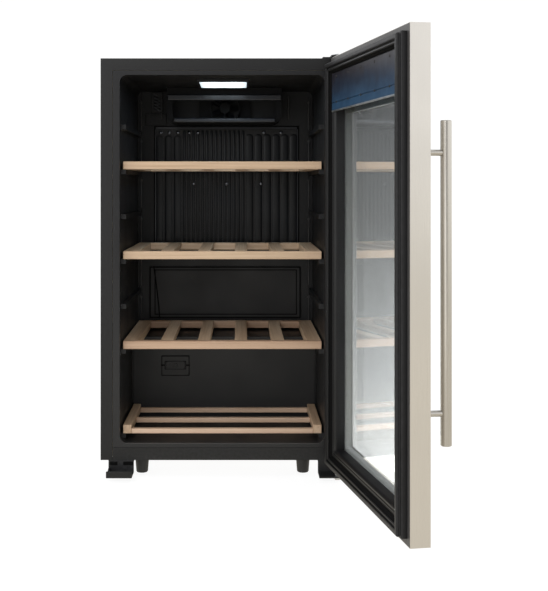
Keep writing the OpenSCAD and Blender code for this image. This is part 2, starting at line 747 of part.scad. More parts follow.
// Folded stainless skin: face, edges and a narrow return at the back
module door_steel_frame() color(stainless) on_door() difference() {
    ring_y(door_edge(0), door_edge(steel_face), outer_y, steel_back);
    ring_y(door_edge(steel_t), door_edge(steel_face + 20), outer_y + steel_t, steel_back - steel_t);
    ring_y(door_edge(trim_inset - 0.4), door_edge(steel_face + 20),
        steel_back - 2 * steel_t, steel_back + cut);
    post(hinge_x, -hinge_ahead, 0, cab_top, bush_r + 1);
    at_standoffs() rod_y(0, 0, outer_y - cut, outer_y + 2 * steel_t, screw_hole_r);
}

// Stiff frame inside the skin; it holds the glass unit and the hinge bushes
module door_core() color([0.3, 0.3, 0.32]) on_door() difference() {
    ring_y(door_edge(steel_t + gap), glass_edge(-glass_fit),
        outer_y + steel_t + gap, steel_back - steel_t - gap);
    post(hinge_x, -hinge_ahead, 0, door_bottom + pin_bore, bush_r + gap);
    post(hinge_x, -hinge_ahead, door_top - pin_bore, cab_top, bush_r + gap);
    at_standoffs() {
        rod_y(0, 0, outer_y, steel_back, screw_hole_r + 0.1);
        rod_y(0, 0, steel_back - 5, steel_back, 6);
    }
}

// Moulded inner trim: a flat frame, and a skirt that presses on the glass
module door_inner_frame() color(plastic_black) on_door() {
    ring_y(door_edge(trim_inset), trim_window, steel_back - steel_t, trim_back);
    ring_y(glass_edge(0), trim_window, inner_glass_y + glass_t + gap, steel_back - steel_t / 2);
}

module outer_glass() color(clear_glass) on_door()
    box([-glass_half, glass_y, glass_z[0]], [glass_half, glass_y + glass_t, glass_z[1]]);

module inner_glass() color(clear_glass) on_door()
    box([-glass_half, inner_glass_y, glass_z[0]], [glass_half, inner_glass_y + glass_t, inner_glass_top]);

// Metal ring that keeps the two glasses apart
module glass_spacer() color(stainless) on_door()
    ring_y(spacer_outer, spacer_inner, glass_y + glass_t + gap, inner_glass_y - gap);

// Magnetic seal: a wide base and a narrower bulb
module door_gasket() color([0.2, 0.2, 0.21]) on_door() {
    ring_y(door_edge(trim_inset), door_edge(trim_inset + gasket_w), trim_back + gap, trim_back + gasket_base);
    ring_y(door_edge(trim_inset + 3), door_edge(trim_inset + gasket_w - 4),
        trim_back + gasket_base - 1, gasket_face);
}

// Shell over the control board, with four posts and ten clip heads
module control_cover() color(plastic_black) on_door() {
    face = trim_back + gap;
    rim_inside = [cover_rim[0] + wall, cover_rim[1] + wall, cover_rim[2] - wall, cover_rim[3] - wall];
    box([-cover_half, face, cover_z[0]], [cover_half, face + wall, cover_z[1]]);
    ring_y(cover_rim, rim_inside, inner_glass_y + glass_t + gap, face + 0.5);
    for (x = [-140, 140], z = [757, 788]) rod_y(x, z, glass_y + 6.2, face + 0.5, 3);
    for (i = [-2:2], z = clip_z) rod_y(i * clip_pitch, z, face + wall - 0.5, face + wall + 1.2, 2.6);
}

// Touch control and display behind the glass
module control_board() color([0.1, 0.3, 0.16]) on_door() {
    box([-board_half, glass_y + glass_t + 0.5, board_z[0]], [board_half, glass_y + 6, board_z[1]]);
    box([-32, glass_y + 5.5, key_z - 10], [32, glass_y + 12, key_z + 10]);
    for (side = [-1, 1], i = [0:2]) rod_y(side * (60 + 25 * i), key_z, glass_y + 5.5, glass_y + 8, 7);
}

// Plain bushes for the two pins
module door_hinge_bushes() color([0.85, 0.85, 0.83]) on_door()
    for (z = [door_bottom + 0.2, door_top - bush_l - 0.4]) difference() {
        post(hinge_x, -hinge_ahead, z, z + bush_l, bush_r);
        post(hinge_x, -hinge_ahead, z - cut, z + bush_l + cut, pin_r + pin_fit);
    }

module at_standoffs() {
    for (side = [-1, 1]) translate([handle_x, 0, handle_mid + side * handle_span / 2]) children();
}

// Tube with closed, bevelled ends
module handle_bar() color(stainless) on_door() translate([handle_x, outer_y - handle_off, handle_mid]) {
    r = handle_dia / 2;
    difference() {
        post(0, 0, -handle_len / 2 + 1, handle_len / 2 - 1, r);
        post(0, 0, -handle_len / 2 + 3, handle_len / 2 - 3, r - 1.5);
    }
    for (side = [0, 180])
        rotate([side, 0, 0]) translate([0, 0, handle_len / 2 - 1]) cylinder(h = 1, r1 = r, r2 = r - 1);
}

// Posts between the door and the bar, saddled to the bar and drilled for the screws
module handle_standoffs() color(stainless) on_door() at_standoffs() difference() {
    rod_y(0, 0, outer_y - handle_off, outer_y - gap, standoff_r);
    rod_y(0, 0, outer_y - 18, outer_y, screw_hole_r);
    post(0, outer_y - handle_off, -20, 20, handle_dia / 2 + pin_fit);
}

// Long screws through the door into the standoffs
module handle_screws() color(zinc) on_door() at_standoffs() {
    rod_y(0, 0, outer_y - 16, steel_back - 4, 2.5);
    rod_y(0, 0, steel_back - 4.9, steel_back - 1.5, screw_head_r);
}

// ---------- Shelves and rack ----------

// Height of a shelf that lies on a ledge, counted from the lowest
function shelf_z(level) = ledge_z0 + level * ledge_pitch + gap;

// Front and rear rail
module shelf_rails(level) color(beech)
    for (y = [shelf_y0, shelf_y0 + shelf_d - rail_d])
        box([-shelf_w / 2, y, shelf_z(level)], [shelf_w / 2, y + rail_d, shelf_z(level) + shelf_t]);

// Four inner slats and two wider end slats
module shelf_slats(level) color(beech) {
    y0 = shelf_y0 + rail_d + gap;
    y1 = shelf_y0 + shelf_d - rail_d - gap;
    z1 = shelf_z(level) + shelf_t;
    for (i = [-1.5:1:1.5])
        translate([i * slat_pitch, 0, 0]) box([-slat_w / 2, y0, z1 - slat_t], [slat_w / 2, y1, z1]);
    for (x = [-shelf_w / 2, shelf_w / 2 - end_slat_w]) box([x, y0, z1 - shelf_t], [x + end_slat_w, y1, z1]);
}

module shelf_1_rails() shelf_rails(4);
module shelf_1_slats() shelf_slats(4);
module shelf_2_rails() shelf_rails(2);
module shelf_2_slats() shelf_slats(2);
module shelf_3_rails() shelf_rails(0);
module shelf_3_slats() shelf_slats(0);

// Three rails across the bottom rack
module rack_cross_rails() color(beech)
    for (i = [0:2])
        translate([0, shelf_y0 + i * (rack_d - rack_rail_d) / 2, rack_z])
            box([-shelf_w / 2 + rack_side_w + gap, 0, 0],
                [shelf_w / 2 - rack_side_w - gap, rack_rail_d, rack_t]);

// Two side rails, a little higher than the cross rails
module rack_side_rails() color(beech)
    for (x = [-shelf_w / 2, shelf_w / 2 - rack_side_w])
        box([x, shelf_y0, rack_z], [x + rack_side_w, shelf_y0 + rack_d, rack_z + rack_side_t]);

cabinet_wrap();
front_crossbar();
base_plate();
back_panel();
foam_insulation();
inner_liner();
evaporator_plate();
rear_lower_cover();
evaporator_duct();
fan_frame();
fan_motor();
fan_rotor();
sensor_cover();
lamp_housing();
lamp_lens();
led_board();
access_cover();
access_cover_insert();
top_hinge_plate();
lower_hinge_bracket();
left_corner_bracket();
hinge_screws();
hinge_pins();
foot_nuts();
foot_front_left();
foot_front_right();
foot_rear_left();
foot_rear_right();
compressor();
compressor_grommets();
start_relay_box();
drain_pan();
drain_tube();
condenser_tube();
condenser_wires();
filter_drier();
suction_line();
power_board_box();
cord_gland();
door_steel_frame();
door_core();
door_inner_frame();
outer_glass();
inner_glass();
glass_spacer();
door_gasket();
control_cover();
control_board();
door_hinge_bushes();
handle_bar();
handle_standoffs();
handle_screws();
shelf_1_rails();
shelf_1_slats();
shelf_2_rails();
shelf_2_slats();
shelf_3_rails();
shelf_3_slats();
rack_cross_rails();
rack_side_rails();
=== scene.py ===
import json
import math

import bmesh
import bpy
from mathutils import Matrix, Vector

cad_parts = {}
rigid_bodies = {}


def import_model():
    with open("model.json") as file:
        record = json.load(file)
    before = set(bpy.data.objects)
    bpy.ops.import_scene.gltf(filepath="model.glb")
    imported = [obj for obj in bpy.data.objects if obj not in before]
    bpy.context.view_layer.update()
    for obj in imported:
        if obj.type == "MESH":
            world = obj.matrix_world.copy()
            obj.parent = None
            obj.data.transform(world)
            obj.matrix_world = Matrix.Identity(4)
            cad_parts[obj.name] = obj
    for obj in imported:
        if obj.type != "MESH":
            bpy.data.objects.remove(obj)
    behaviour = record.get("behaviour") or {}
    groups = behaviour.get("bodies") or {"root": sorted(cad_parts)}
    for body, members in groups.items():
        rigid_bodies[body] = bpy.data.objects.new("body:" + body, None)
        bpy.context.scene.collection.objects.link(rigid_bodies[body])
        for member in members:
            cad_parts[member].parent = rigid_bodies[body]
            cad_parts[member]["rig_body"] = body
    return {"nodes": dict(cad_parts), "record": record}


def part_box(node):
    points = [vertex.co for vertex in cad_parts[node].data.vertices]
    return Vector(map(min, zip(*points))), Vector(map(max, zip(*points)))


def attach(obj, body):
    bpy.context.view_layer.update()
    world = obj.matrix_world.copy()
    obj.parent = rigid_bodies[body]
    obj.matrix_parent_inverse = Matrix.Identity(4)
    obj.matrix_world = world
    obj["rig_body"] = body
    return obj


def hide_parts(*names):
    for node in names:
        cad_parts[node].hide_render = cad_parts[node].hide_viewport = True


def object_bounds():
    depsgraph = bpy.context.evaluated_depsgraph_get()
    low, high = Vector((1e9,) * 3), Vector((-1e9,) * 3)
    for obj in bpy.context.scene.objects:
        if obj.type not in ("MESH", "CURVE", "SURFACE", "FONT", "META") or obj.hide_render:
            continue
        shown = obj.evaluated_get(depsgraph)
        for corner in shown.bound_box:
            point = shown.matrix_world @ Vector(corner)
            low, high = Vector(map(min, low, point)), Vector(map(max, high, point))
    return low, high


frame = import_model()
cad_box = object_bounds()
NODES = frame["nodes"]
SLOTS = {part["node"]: part["material_slot"] for part in frame["record"]["subparts"]}
MM = 0.001

# The door is drawn open: this matrix takes a point of the closed door to where it is drawn.
SWING = next(joint for joint in frame["record"]["behaviour"]["joints"] if joint["name"] == "door_swing")
OPEN_ANGLE = -math.radians(min(SWING["range_deg"]))
HINGE = Matrix.Translation(Vector(SWING["pos_m"]))
OPENED = HINGE @ Matrix.Rotation(OPEN_ANGLE, 4, "Z") @ HINGE.inverted()


def box_of(points):
    """Lowest and highest corner of some points."""
    low = Vector([min(p[i] for p in points) for i in range(3)])
    high = Vector([max(p[i] for p in points) for i in range(3)])
    return low, high


def door_box(node):
    """Lowest and highest corner of a door node, measured on the closed door."""
    closing = OPENED.inverted()
    return box_of([closing @ v.co for v in NODES[node].data.vertices])


# ---------- Materials ----------


class Nodes:
    """A node tree being made, with short names for the nodes that are used most."""

    def __init__(self, tree):
        self.tree = tree

    def add(self, kind, **settings):
        node = self.tree.nodes.new("ShaderNode" + kind)
        for key, value in settings.items():
            setattr(node, key, value)
        return node

    def link(self, source, target):
        self.tree.links.new(source, target)

    def math(self, operation, a, b=0.0):
        node = self.add("Math", operation=operation)
        for socket, value in zip(node.inputs, (a, b)):
            if isinstance(value, (int, float)):
                socket.default_value = value
            else:
                self.link(value, socket)
        return node.outputs[0]

    def split(self, vector):
        """The X, Y and Z of a vector."""
        node = self.add("SeparateXYZ")
        self.link(vector, node.inputs[0])
        return node.outputs

    def spread(self, value, low, high, to_low=0.0, to_high=1.0):
        """Maps a value from one range to another and keeps it there."""
        node = self.add("MapRange", clamp=True)
        for name, number in (("From Min", low), ("From Max", high), ("To Min", to_low), ("To Max", to_high)):
            node.inputs[name].default_value = number
        self.link(value, node.inputs["Value"])
        return node.outputs["Result"]

    def mix(self, share, a, b):
        """Colour a where share is 0 and b where it is 1."""
        node = self.add("Mix", data_type="RGBA")
        for socket, value in ((node.inputs[0], share), (node.inputs[6], a), (node.inputs[7], b)):
            if isinstance(value, tuple):
                socket.default_value = (*value, 1)
            else:
                self.link(value, socket)
        return node.outputs[2]

    def choose(self, share, a, b):
        """Shader a where share is 0 and b where it is 1."""
        node = self.add("MixShader")
        for socket, source in zip(node.inputs, (share, a, b)):
            self.link(source, socket)
        return node.outputs[0]


class Finish(Nodes):
    """A material being made: its Principled shader and its coordinates in metres."""

    def __init__(self, name, colour, roughness, **sockets):
        self.material = bpy.data.materials.new(name)
        self.material.use_nodes = True
        super().__init__(self.material.node_tree)
        self.shader = self.tree.nodes["Principled BSDF"]
        self.place = self.add("TexCoord").outputs["Object"]
        self.normal = None
        self.shader.inputs["Base Color"].default_value = (*colour, 1)
        self.shader.inputs["Roughness"].default_value = roughness
        for socket, value in sockets.items():
            self.shader.inputs[socket.replace("_", " ")].default_value = value

    def scaled(self, scale, turn=0.0):
        """The coordinates turned about Z and stretched by a scale along each axis."""
        node = self.add("Mapping", vector_type="POINT")
        node.inputs["Rotation"].default_value = (0, 0, turn)
        node.inputs["Scale"].default_value = scale
        self.link(self.place, node.inputs["Vector"])
        return node.outputs[0]

    def noise(self, scale, detail=3.0, roughness=0.5, turn=0.0, distortion=0.0):
        """Noise from 0 to 1; scale is its cells a metre, alike or along each axis."""
        scale = scale if isinstance(scale, tuple) else (scale, scale, scale)
        node = self.add("TexNoise")
        node.inputs["Scale"].default_value = 1.0
        node.inputs["Detail"].default_value = detail
        node.inputs["Roughness"].default_value = roughness
        node.inputs["Distortion"].default_value = distortion
        self.link(self.scaled(scale, turn), node.inputs["Vector"])
        return node.outputs["Fac"]

    def rise(self, low, high, ragged, amount):
        """0 at one height and 1 at another, with a ragged border between them."""
        # This height share grades the painted light of the cover, the liner and the glass spacer.
        painted_light_height = self.spread(self.split(self.place)[2], low, high)
        return self.math("ADD", painted_light_height, self.spread(ragged, 0.3, 0.7, -amount, amount))

    def bump(self, height, distance, strength=1.0):
        """Adds relief of a depth in metres."""
        node = self.add("Bump")
        node.inputs["Strength"].default_value = strength
        node.inputs["Distance"].default_value = distance
        self.link(height, node.inputs["Height"])
        if self.normal:
            self.link(self.normal, node.inputs["Normal"])
        self.normal = node.outputs["Normal"]
        self.link(self.normal, self.shader.inputs["Normal"])

    def colour(self, socket):
        self.link(socket, self.shader.inputs["Base Color"])

    def rough(self, value, low, high):
        self.link(self.spread(value, 0.3, 0.7, low, high), self.shader.inputs["Roughness"])

    def surface(self, shader):
        self.link(shader, self.tree.nodes["Material Output"].inputs["Surface"])

    def edges(self):
        """1 on sharp convex edges, 0 elsewhere, broken up by noise."""
        pointed = self.spread(self.add("NewGeometry").outputs["Pointiness"], 0.53, 0.62)
        return self.math("MULTIPLY", pointed, self.spread(self.noise(180), 0.35, 0.65))


def shade(colour, factor):
    return tuple(c * factor for c in colour)


def moulded(name, colour, roughness, grain=9000, depth=0.00003, wear=1.8, **sockets):
    """Moulded plastic or rubber: fine grain, faint flow clouds, slightly polished edges."""
    f = Finish(name, colour, roughness, **sockets)
    clouds = f.noise(14, detail=4)
    grained = f.noise(grain, detail=1)
    tone = f.mix(f.spread(clouds, 0.35, 0.65), shade(colour, 0.86), shade(colour, 1.12))
    f.colour(f.mix(f.edges(), tone, shade(colour, wear)))
    f.rough(f.math("ADD", f.math("MULTIPLY", clouds, 0.5), f.math("MULTIPLY", grained, 0.5)),
            roughness * 0.88, roughness * 1.14)
    f.bump(grained, depth, 0.5)
    return f.material


def painted(name, colour, roughness, peel=2200):
    """Powder-coated sheet: orange peel, faint dust, worn bright edges."""
    f = Finish(name, colour, roughness, Specular_IOR_Level=0.34)
    peel_height = f.noise(peel, detail=2)
    clouds = f.noise(9, detail=5)
    tone = f.mix(f.spread(clouds, 0.35, 0.7), shade(colour, 0.9), shade(colour, 1.1))
    f.colour(f.mix(f.edges(), tone, shade(colour, 2.2)))
    f.rough(clouds, roughness * 0.9, roughness * 1.15)
    f.bump(peel_height, 0.000012, 0.6)
    return f.material


def brushed(name, colour, roughness):
    """Brushed metal with long fine strokes along Z."""
    f = Finish(name, colour, roughness, Metallic=1.0, Anisotropic=0.55)
    strokes = f.noise((3800, 3800, 14), detail=4, roughness=0.65, turn=-OPEN_ANGLE)
    clouds = f.noise(6, detail=3)
    tone = f.mix(f.spread(strokes, 0.3, 0.7), shade(colour, 0.93), shade(colour, 1.06))
    f.colour(f.mix(f.spread(clouds, 0.4, 0.75), tone, shade(colour, 0.94)))
    f.rough(f.math("ADD", f.math("MULTIPLY", strokes, 0.7), f.math("MULTIPLY", clouds, 0.3)),
            roughness * 0.8, roughness * 1.25)
    f.bump(strokes, 0.000012, 0.5)
    return f.material


def plated(name, colour, roughness=0.35):
    """Zinc or copper with soft blotches and fine scratches."""
    f = Finish(name, colour, roughness, Metallic=1.0)
    blotches = f.noise(60, detail=4)
    f.colour(f.mix(f.spread(blotches, 0.35, 0.65), shade(colour, 0.82), shade(colour, 1.08)))
    f.rough(blotches, roughness * 0.8, roughness * 1.3)
    f.bump(f.noise((300, 4200, 300), detail=2), 0.00001, 0.4)
    return f.material


def wood(name, along, light_and_shade_tint=(1, 1, 1)):
    """Oiled beech: long grain along one axis (0 is X, 1 is Y), dark flecks, each strip a little different.
    The tint scales all tones, for painted lit and shaded copies.
    """
    f = Finish(name, (0.6, 0.45, 0.3), 0.5, Coat_Weight=0.08, Coat_Roughness=0.35)
    tones = (0.7, 0.52, 0.355), (0.58, 0.4, 0.255), (0.33, 0.19, 0.1)
    pale, warm, dark = [tuple(a * b for a, b in zip(tone, light_and_shade_tint)) for tone in tones]

    def stretched(across, length):
        return tuple(length if axis == along else across for axis in range(3))

    grain = f.noise(stretched(330, 5), detail=5, roughness=0.6, distortion=0.25)
    bands = f.noise(stretched(55, 1.4), detail=2, distortion=0.4)
    flecks = f.noise(stretched(1500, 130), detail=1)
    strip = f.add("NewGeometry").outputs["Random Per Island"]
    tone = f.mix(f.spread(bands, 0.35, 0.65), pale, warm)
    tone = f.mix(f.spread(strip, 0, 1, 0, 0.45), tone, shade(warm, 0.93))
    tone = f.mix(f.spread(grain, 0.45, 0.72, 0, 0.4), tone, dark)
    tone = f.mix(f.spread(flecks, 0.66, 0.74, 0, 0.45), tone, dark)
    f.colour(tone)
    f.rough(grain, 0.42, 0.58)
    f.bump(grain, 0.00012, 0.35)
    f.bump(flecks, 0.00006, 0.3)
    return f.material


def glass(name):
    """Clear float glass that lets the lamps through to what is behind it."""
    f = Finish(name, (0.93, 0.95, 0.95), 0.0, Transmission_Weight=1.0, IOR=1.52)
    f.shader.inputs["Coat Weight"].default_value = 0.9
    f.shader.inputs["Coat IOR"].default_value = 1.7
    f.link(f.spread(f.noise(25, detail=3), 0.45, 0.75, 0.0, 0.012), f.shader.inputs["Roughness"])
    path = f.add("LightPath")
    clear = f.add("BsdfTransparent")
    clear.inputs["Color"].default_value = (0.82, 0.85, 0.85, 1)
    f.surface(f.choose(path.outputs["Is Shadow Ray"], f.shader.outputs[0], clear.outputs[0]))
    return f.material


def lit_lens(name):
    """Milky lens, brightest below its two lights."""
    f = Finish(name, (0.85, 0.92, 1.0), 0.35)
    f.shader.inputs["Emission Color"].default_value = (0.8, 0.93, 1.0, 1)
    low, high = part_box("lamp_lens")
    middle = (low.x + high.x) / 2
    from_middle = f.math("ABSOLUTE", f.math("SUBTRACT", f.split(f.place)[0], middle))
    from_light = f.math("ABSOLUTE", f.math("SUBTRACT", from_middle, LIGHT_X))
    glow = f.spread(from_light, 0.0, 0.026, 3.2, 0.8)
    ripple = f.spread(f.noise(700, detail=2), 0.3, 0.7, 0.92, 1.08)
    f.link(f.math("MULTIPLY", glow, ripple), f.shader.inputs["Emission Strength"])
    f.bump(f.noise(700, detail=2), 0.0001, 0.4)
    return f.material


def seam(name):
    """Deep shade inside a seam or a slot."""
    f = Finish(name, (0.0015, 0.0015, 0.0018), 0.8, Specular_IOR_Level=0.12)
    dust = f.noise(500, detail=2)
    f.colour(f.mix(f.spread(dust, 0.4, 0.75), (0.0012, 0.0012, 0.0014), (0.0035, 0.0034, 0.0033)))
    f.rough(dust, 0.75, 0.9)
    f.bump(dust, 0.00003, 0.3)
    return f.material


def cover_painted_lamp_light(name):
    """Glossy black moulding with the blue light of the lamp painted on its lower part, darker above."""
    f = Finish(name, (0.02, 0.03, 0.05), 0.3, Specular_IOR_Level=0.14)
    low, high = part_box("control_cover")
    clouds = f.noise(30, detail=4)
    painted_light_height = f.rise(low.z, high.z, clouds, 0.12)
    # Painted lamp light: bluest at the bottom, fading to a dark grey-violet towards the top.
    blue = f.mix(f.spread(painted_light_height, 0.1, 0.55), (0.017, 0.05, 0.1), (0.009, 0.02, 0.042))
    f.colour(f.mix(f.spread(painted_light_height, 0.45, 0.95), blue, (0.013, 0.012, 0.017)))
    f.rough(clouds, 0.34, 0.46)
    f.bump(f.noise(6000, detail=1), 0.00001, 0.4)
    return f.material


def liner_painted_light(name):
    """Matt liner moulding, a little greyer on its lower half: painted light, lighter where the lower interior
    is lit more.
    """
    f = Finish(name, (0.006, 0.006, 0.007), 0.42, Specular_IOR_Level=0.33)
    clouds = f.noise(11, detail=4)
    painted_light_height = f.rise(0.2, 0.46, clouds, 0.1)
    # Painted light: lighter below 0.2 m, darker above 0.46 m.
    tone = f.mix(painted_light_height, (0.0175, 0.0175, 0.0178), (0.005, 0.0053, 0.0064))
    f.colour(f.mix(f.edges(), tone, (0.017, 0.017, 0.018)))
    f.rough(clouds, 0.36, 0.5)
    f.bump(f.noise(7000, detail=1), 0.00003, 0.5)
    return f.material


def spacer_metal_painted_light(name):
    """Dull aluminium of the glass spacer with painted light: bright at the bottom, darker towards the top of
    the door.
    """
    f = Finish(name, (0.3, 0.3, 0.3), 0.5)
    low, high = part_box("glass_spacer")
    pits = f.noise((900, 900, 220), detail=2)
    painted_light_height = f.rise(low.z, high.z, pits, 0.03)
    # Painted light: nearly white at the bottom, dark grey at the top.
    f.colour(f.mix(painted_light_height, (0.85, 0.85, 0.84), (0.2, 0.21, 0.215)))
    f.rough(pits, 0.4, 0.6)
    f.bump(pits, 0.00003, 0.3)
    return f.material


def foam_skin(name):
    """Poured insulation foam with small cells."""
    f = Finish(name, (0.72, 0.62, 0.4), 0.9)
    cells = f.noise(900, detail=3)
    f.colour(f.mix(f.spread(cells, 0.3, 0.7), (0.62, 0.51, 0.3), (0.78, 0.69, 0.47)))
    f.rough(cells, 0.8, 0.95)
    f.bump(cells, 0.0006, 0.8)
    return f.material


LIGHT_X = 0.0215  # distance of each light from the lamp's middle

MATERIALS = {
    "cabinet_paint": painted("cabinet_paint", (0.0068, 0.007, 0.0074), 0.42),
    "black_paint": painted("black_paint", (0.012, 0.012, 0.013), 0.4),
    "zinc_steel": plated("zinc_steel", (0.56, 0.57, 0.58)),
    "foam": foam_skin("foam"),
    "black_plastic": moulded("black_plastic", (0.0062, 0.0063, 0.0071), 0.4, Specular_IOR_Level=0.33),
    "gloss_black": moulded("gloss_black", (0.006, 0.008, 0.012), 0.2, depth=0.00001, wear=1.3,
                             Specular_IOR_Level=0.4),
    "white_plastic": moulded("white_plastic", (0.7, 0.71, 0.7), 0.42, wear=1.05),
    "lens_plastic": lit_lens("lens_plastic"),
    "foot_plastic": moulded("foot_plastic", (0.014, 0.014, 0.015), 0.5),
    "compressor_shell": painted("compressor_shell", (0.011, 0.011, 0.012), 0.3, peel=500),
    "rubber": moulded("rubber", (0.012, 0.012, 0.012), 0.7, grain=5000),
    "gasket_rubber": moulded("gasket_rubber", (0.009, 0.009, 0.0098), 0.45, grain=6000,
                             Specular_IOR_Level=0.3),
    "copper": plated("copper", (0.72, 0.36, 0.22), 0.3),
    "stainless": brushed("stainless", (0.62, 0.59, 0.545), 0.3),
    "spacer_aluminium": spacer_metal_painted_light("spacer_aluminium"),
    "door_glass": glass("door_glass"),
    "board_green": moulded("board_green", (0.01, 0.075, 0.03), 0.4, wear=1.2),
    "beech": wood("beech_across", 0),
}
BEECH_DEEP = wood("beech_deep", 1)
# Painted light: a shaded copy, darker and warmer, for shelf 3's rails and a lit copy, paler, for the rack's
# cross rails.
BEECH_SHADED_COPY = wood("beech_shaded_copy", 0, (0.84, 0.77, 0.76))
BEECH_LIT_COPY = wood("beech_lit_copy", 0, (1.17, 1.17, 1.26))
SEAM = seam("seam_black")
RIVET = plated("rivet_steel", (0.14, 0.15, 0.17), 0.25)
LINER_PAINTED_LIGHT = liner_painted_light("liner_painted_light")
CHANNEL = moulded("channel_black", (0.0032, 0.0042, 0.0056), 0.3, depth=0.00001, wear=2.2,
                  Specular_IOR_Level=0.24)
# Painted highlight: a lighter copy of the black plastic for the duct's lips.
LIP_LIT = moulded("lip_black_lit", (0.018, 0.0188, 0.021), 0.2, depth=0.00001, wear=1.6)
# Painted shade: a darker copy of the black plastic for the duct and the fan frame.
DUCT_SHADED = moulded("duct_black_shaded", (0.0022, 0.0023, 0.0027), 0.5, Specular_IOR_Level=0.16)
HANDLE_STEEL = brushed("handle_steel", (0.49, 0.465, 0.425), 0.26)
COVER_PAINTED_LAMP_BLUE = cover_painted_lamp_light("cover_painted_lamp_blue")
# Also the colour of the painted highlight strips in the liner's corners and on its low bead.
EDGE_STRIP = moulded("edge_strip", (0.045, 0.043, 0.042), 0.5, grain=3000, depth=0.00008, wear=1.2)
LINER_NODES = ("inner_liner", "rear_lower_cover", "access_cover", "access_cover_insert")
DEEP_WOOD = ("shelf_1_slats", "shelf_2_slats", "shelf_3_slats", "rack_side_rails")


def material_for(node):
    if node in LINER_NODES:
        return LINER_PAINTED_LIGHT
    if node in ("evaporator_duct", "fan_frame"):
        return DUCT_SHADED
    if node == "shelf_3_rails":
        return BEECH_SHADED_COPY
    if node == "rack_cross_rails":
        return BEECH_LIT_COPY
    if node.startswith("handle_") and SLOTS[node] == "stainless":
        return HANDLE_STEEL
    return BEECH_DEEP if node in DEEP_WOOD else MATERIALS[SLOTS[node]]


# ---------- Shapes ----------


def place_piece(name, mesh, node, material=None):
    """Makes an object of a mesh in the row frame; it rides on a CAD node's body and takes its slot."""
    piece = bpy.data.objects.new(name, mesh)
    bpy.context.scene.collection.objects.link(piece)
    piece.data.materials.clear()
    piece.data.materials.append(material or material_for(node))
    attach(piece, NODES[node]["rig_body"])
    return piece


def mesh_of(points, faces, name):
    """A mesh that is smooth except at its sharp edges."""
    mesh = bpy.data.meshes.new(name)
    mesh.from_pydata([tuple(p) for p in points], [], faces)
    mesh.validate()
    mesh.shade_smooth()
    mesh.set_sharp_from_angle(angle=math.radians(42))
    return mesh


def round_edges(piece, width, segments=2):
    """Rounds the sharp edges with real faces and keeps the flats flat."""
    bevel = piece.modifiers.new("round", "BEVEL")
    bevel.width = width
    bevel.segments = segments
    bevel.limit_method = "ANGLE"
    bevel.angle_limit = math.radians(38)
    bevel.use_clamp_overlap = True
    weigh = piece.modifiers.new("flats", "WEIGHTED_NORMAL")
    weigh.keep_sharp = True


def joined_mesh(node, name):
    """A CAD node's mesh with its split corners joined and its flat faces merged."""
    work = bmesh.new()
    work.from_mesh(NODES[node].data)
    bmesh.ops.remove_doubles(work, verts=work.verts, dist=0.002 * MM)
    bmesh.ops.dissolve_limit(work, angle_limit=math.radians(0.5), verts=work.verts, edges=work.edges)
    work.verts.index_update()
    points = [v.co.copy() for v in work.verts]
    faces = [[v.index for v in face.verts] for face in work.faces]
    work.free()
    return mesh_of(points, faces, name)


def rounded_node(node, width):
    """Stands for a CAD node: the same shape with rounded edges."""
    piece = place_piece(node + "_finished", joined_mesh(node, node + "_finished"), node)
    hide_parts(node)
    round_edges(piece, width)


def ring_mesh(name, outer, inner, profile, matrix):
    """Sweeps a closed profile round a rectangle in X and Z with mitred corners.

    outer and inner are (x0, z0, x1, z1). Each profile point is (share, y): share is 0 on the
    outer rectangle and 1 on the inner one.
    """
    corners = ((0, 1), (2, 1), (2, 3), (0, 3))
    points, faces = [], []
    for a, b in corners:
        for share, y in profile:
            x = outer[a] + share * (inner[a] - outer[a])
            z = outer[b] + share * (inner[b] - outer[b])
            points.append(matrix @ Vector((x, y, z)))
    count = len(profile)
    for side in range(4):
        here, there = side * count, (side + 1) % 4 * count
        for i in range(count):
            j = (i + 1) % count
            faces.append((here + i, here + j, there + j, there + i))
    return mesh_of(points, faces, name)


def add_block(points, faces, low, high, matrix=Matrix.Identity(4)):
    """Adds a box to the lists of points and faces."""
    start = len(points)
    for x in (low[0], high[0]):
        for y in (low[1], high[1]):
            for z in (low[2], high[2]):
                points.append(matrix @ Vector((x, y, z)))
    for face in ((0, 1, 3, 2), (4, 6, 7, 5), (0, 4, 5, 1), (2, 3, 7, 6), (0, 2, 6, 4), (1, 5, 7, 3)):
        faces.append(tuple(start + i for i in face))


def add_dome(points, faces, centre, radius, height, way, matrix=Matrix.Identity(4), sides=16):
    """Adds a low dome with a flat back to the lists; way is -1 when it bulges towards -Y."""
    rings = ((1.0, 0.0), (1.0, 0.3), (0.86, 0.68), (0.5, 0.94))
    start = len(points)
    for share, lift in rings:
        for i in range(sides):
            angle = 2 * math.pi * i / sides
            offset = Vector((share * radius * math.cos(angle), way * lift * height,
                             share * radius * math.sin(angle)))
            points.append(matrix @ (Vector(centre) + offset))
    points.append(matrix @ (Vector(centre) + Vector((0, way * height, 0))))
    top = len(points) - 1
    for ring in range(len(rings) - 1):
        for i in range(sides):
            j = (i + 1) % sides
            a, b = start + ring * sides, start + (ring + 1) * sides
            faces.append((a + i, a + j, b + j, b + i))
    last = start + (len(rings) - 1) * sides
    faces.extend((last + i, last + (i + 1) % sides, top) for i in range(sides))
    faces.append(tuple(start + i for i in reversed(range(sides))))


def fix_normals(mesh):
    work = bmesh.new()
    work.from_mesh(mesh)
    bmesh.ops.recalc_face_normals(work, faces=work.faces)
    work.to_mesh(mesh)
    work.free()
    return mesh


def bar_piece(name, node, bars, material, width=0.4, segments=2, matrix=Matrix.Identity(4)):
    """One piece of several boxes, given by their lowest and highest corners; width rounds it, in mm."""
    points, faces = [], []
    for low, high in bars:
        add_block(points, faces, low, high, matrix)
    piece = place_piece(name, mesh_of(points, faces, name), node, material)
    if width:
        round_edges(piece, width * MM, segments)
    return piece


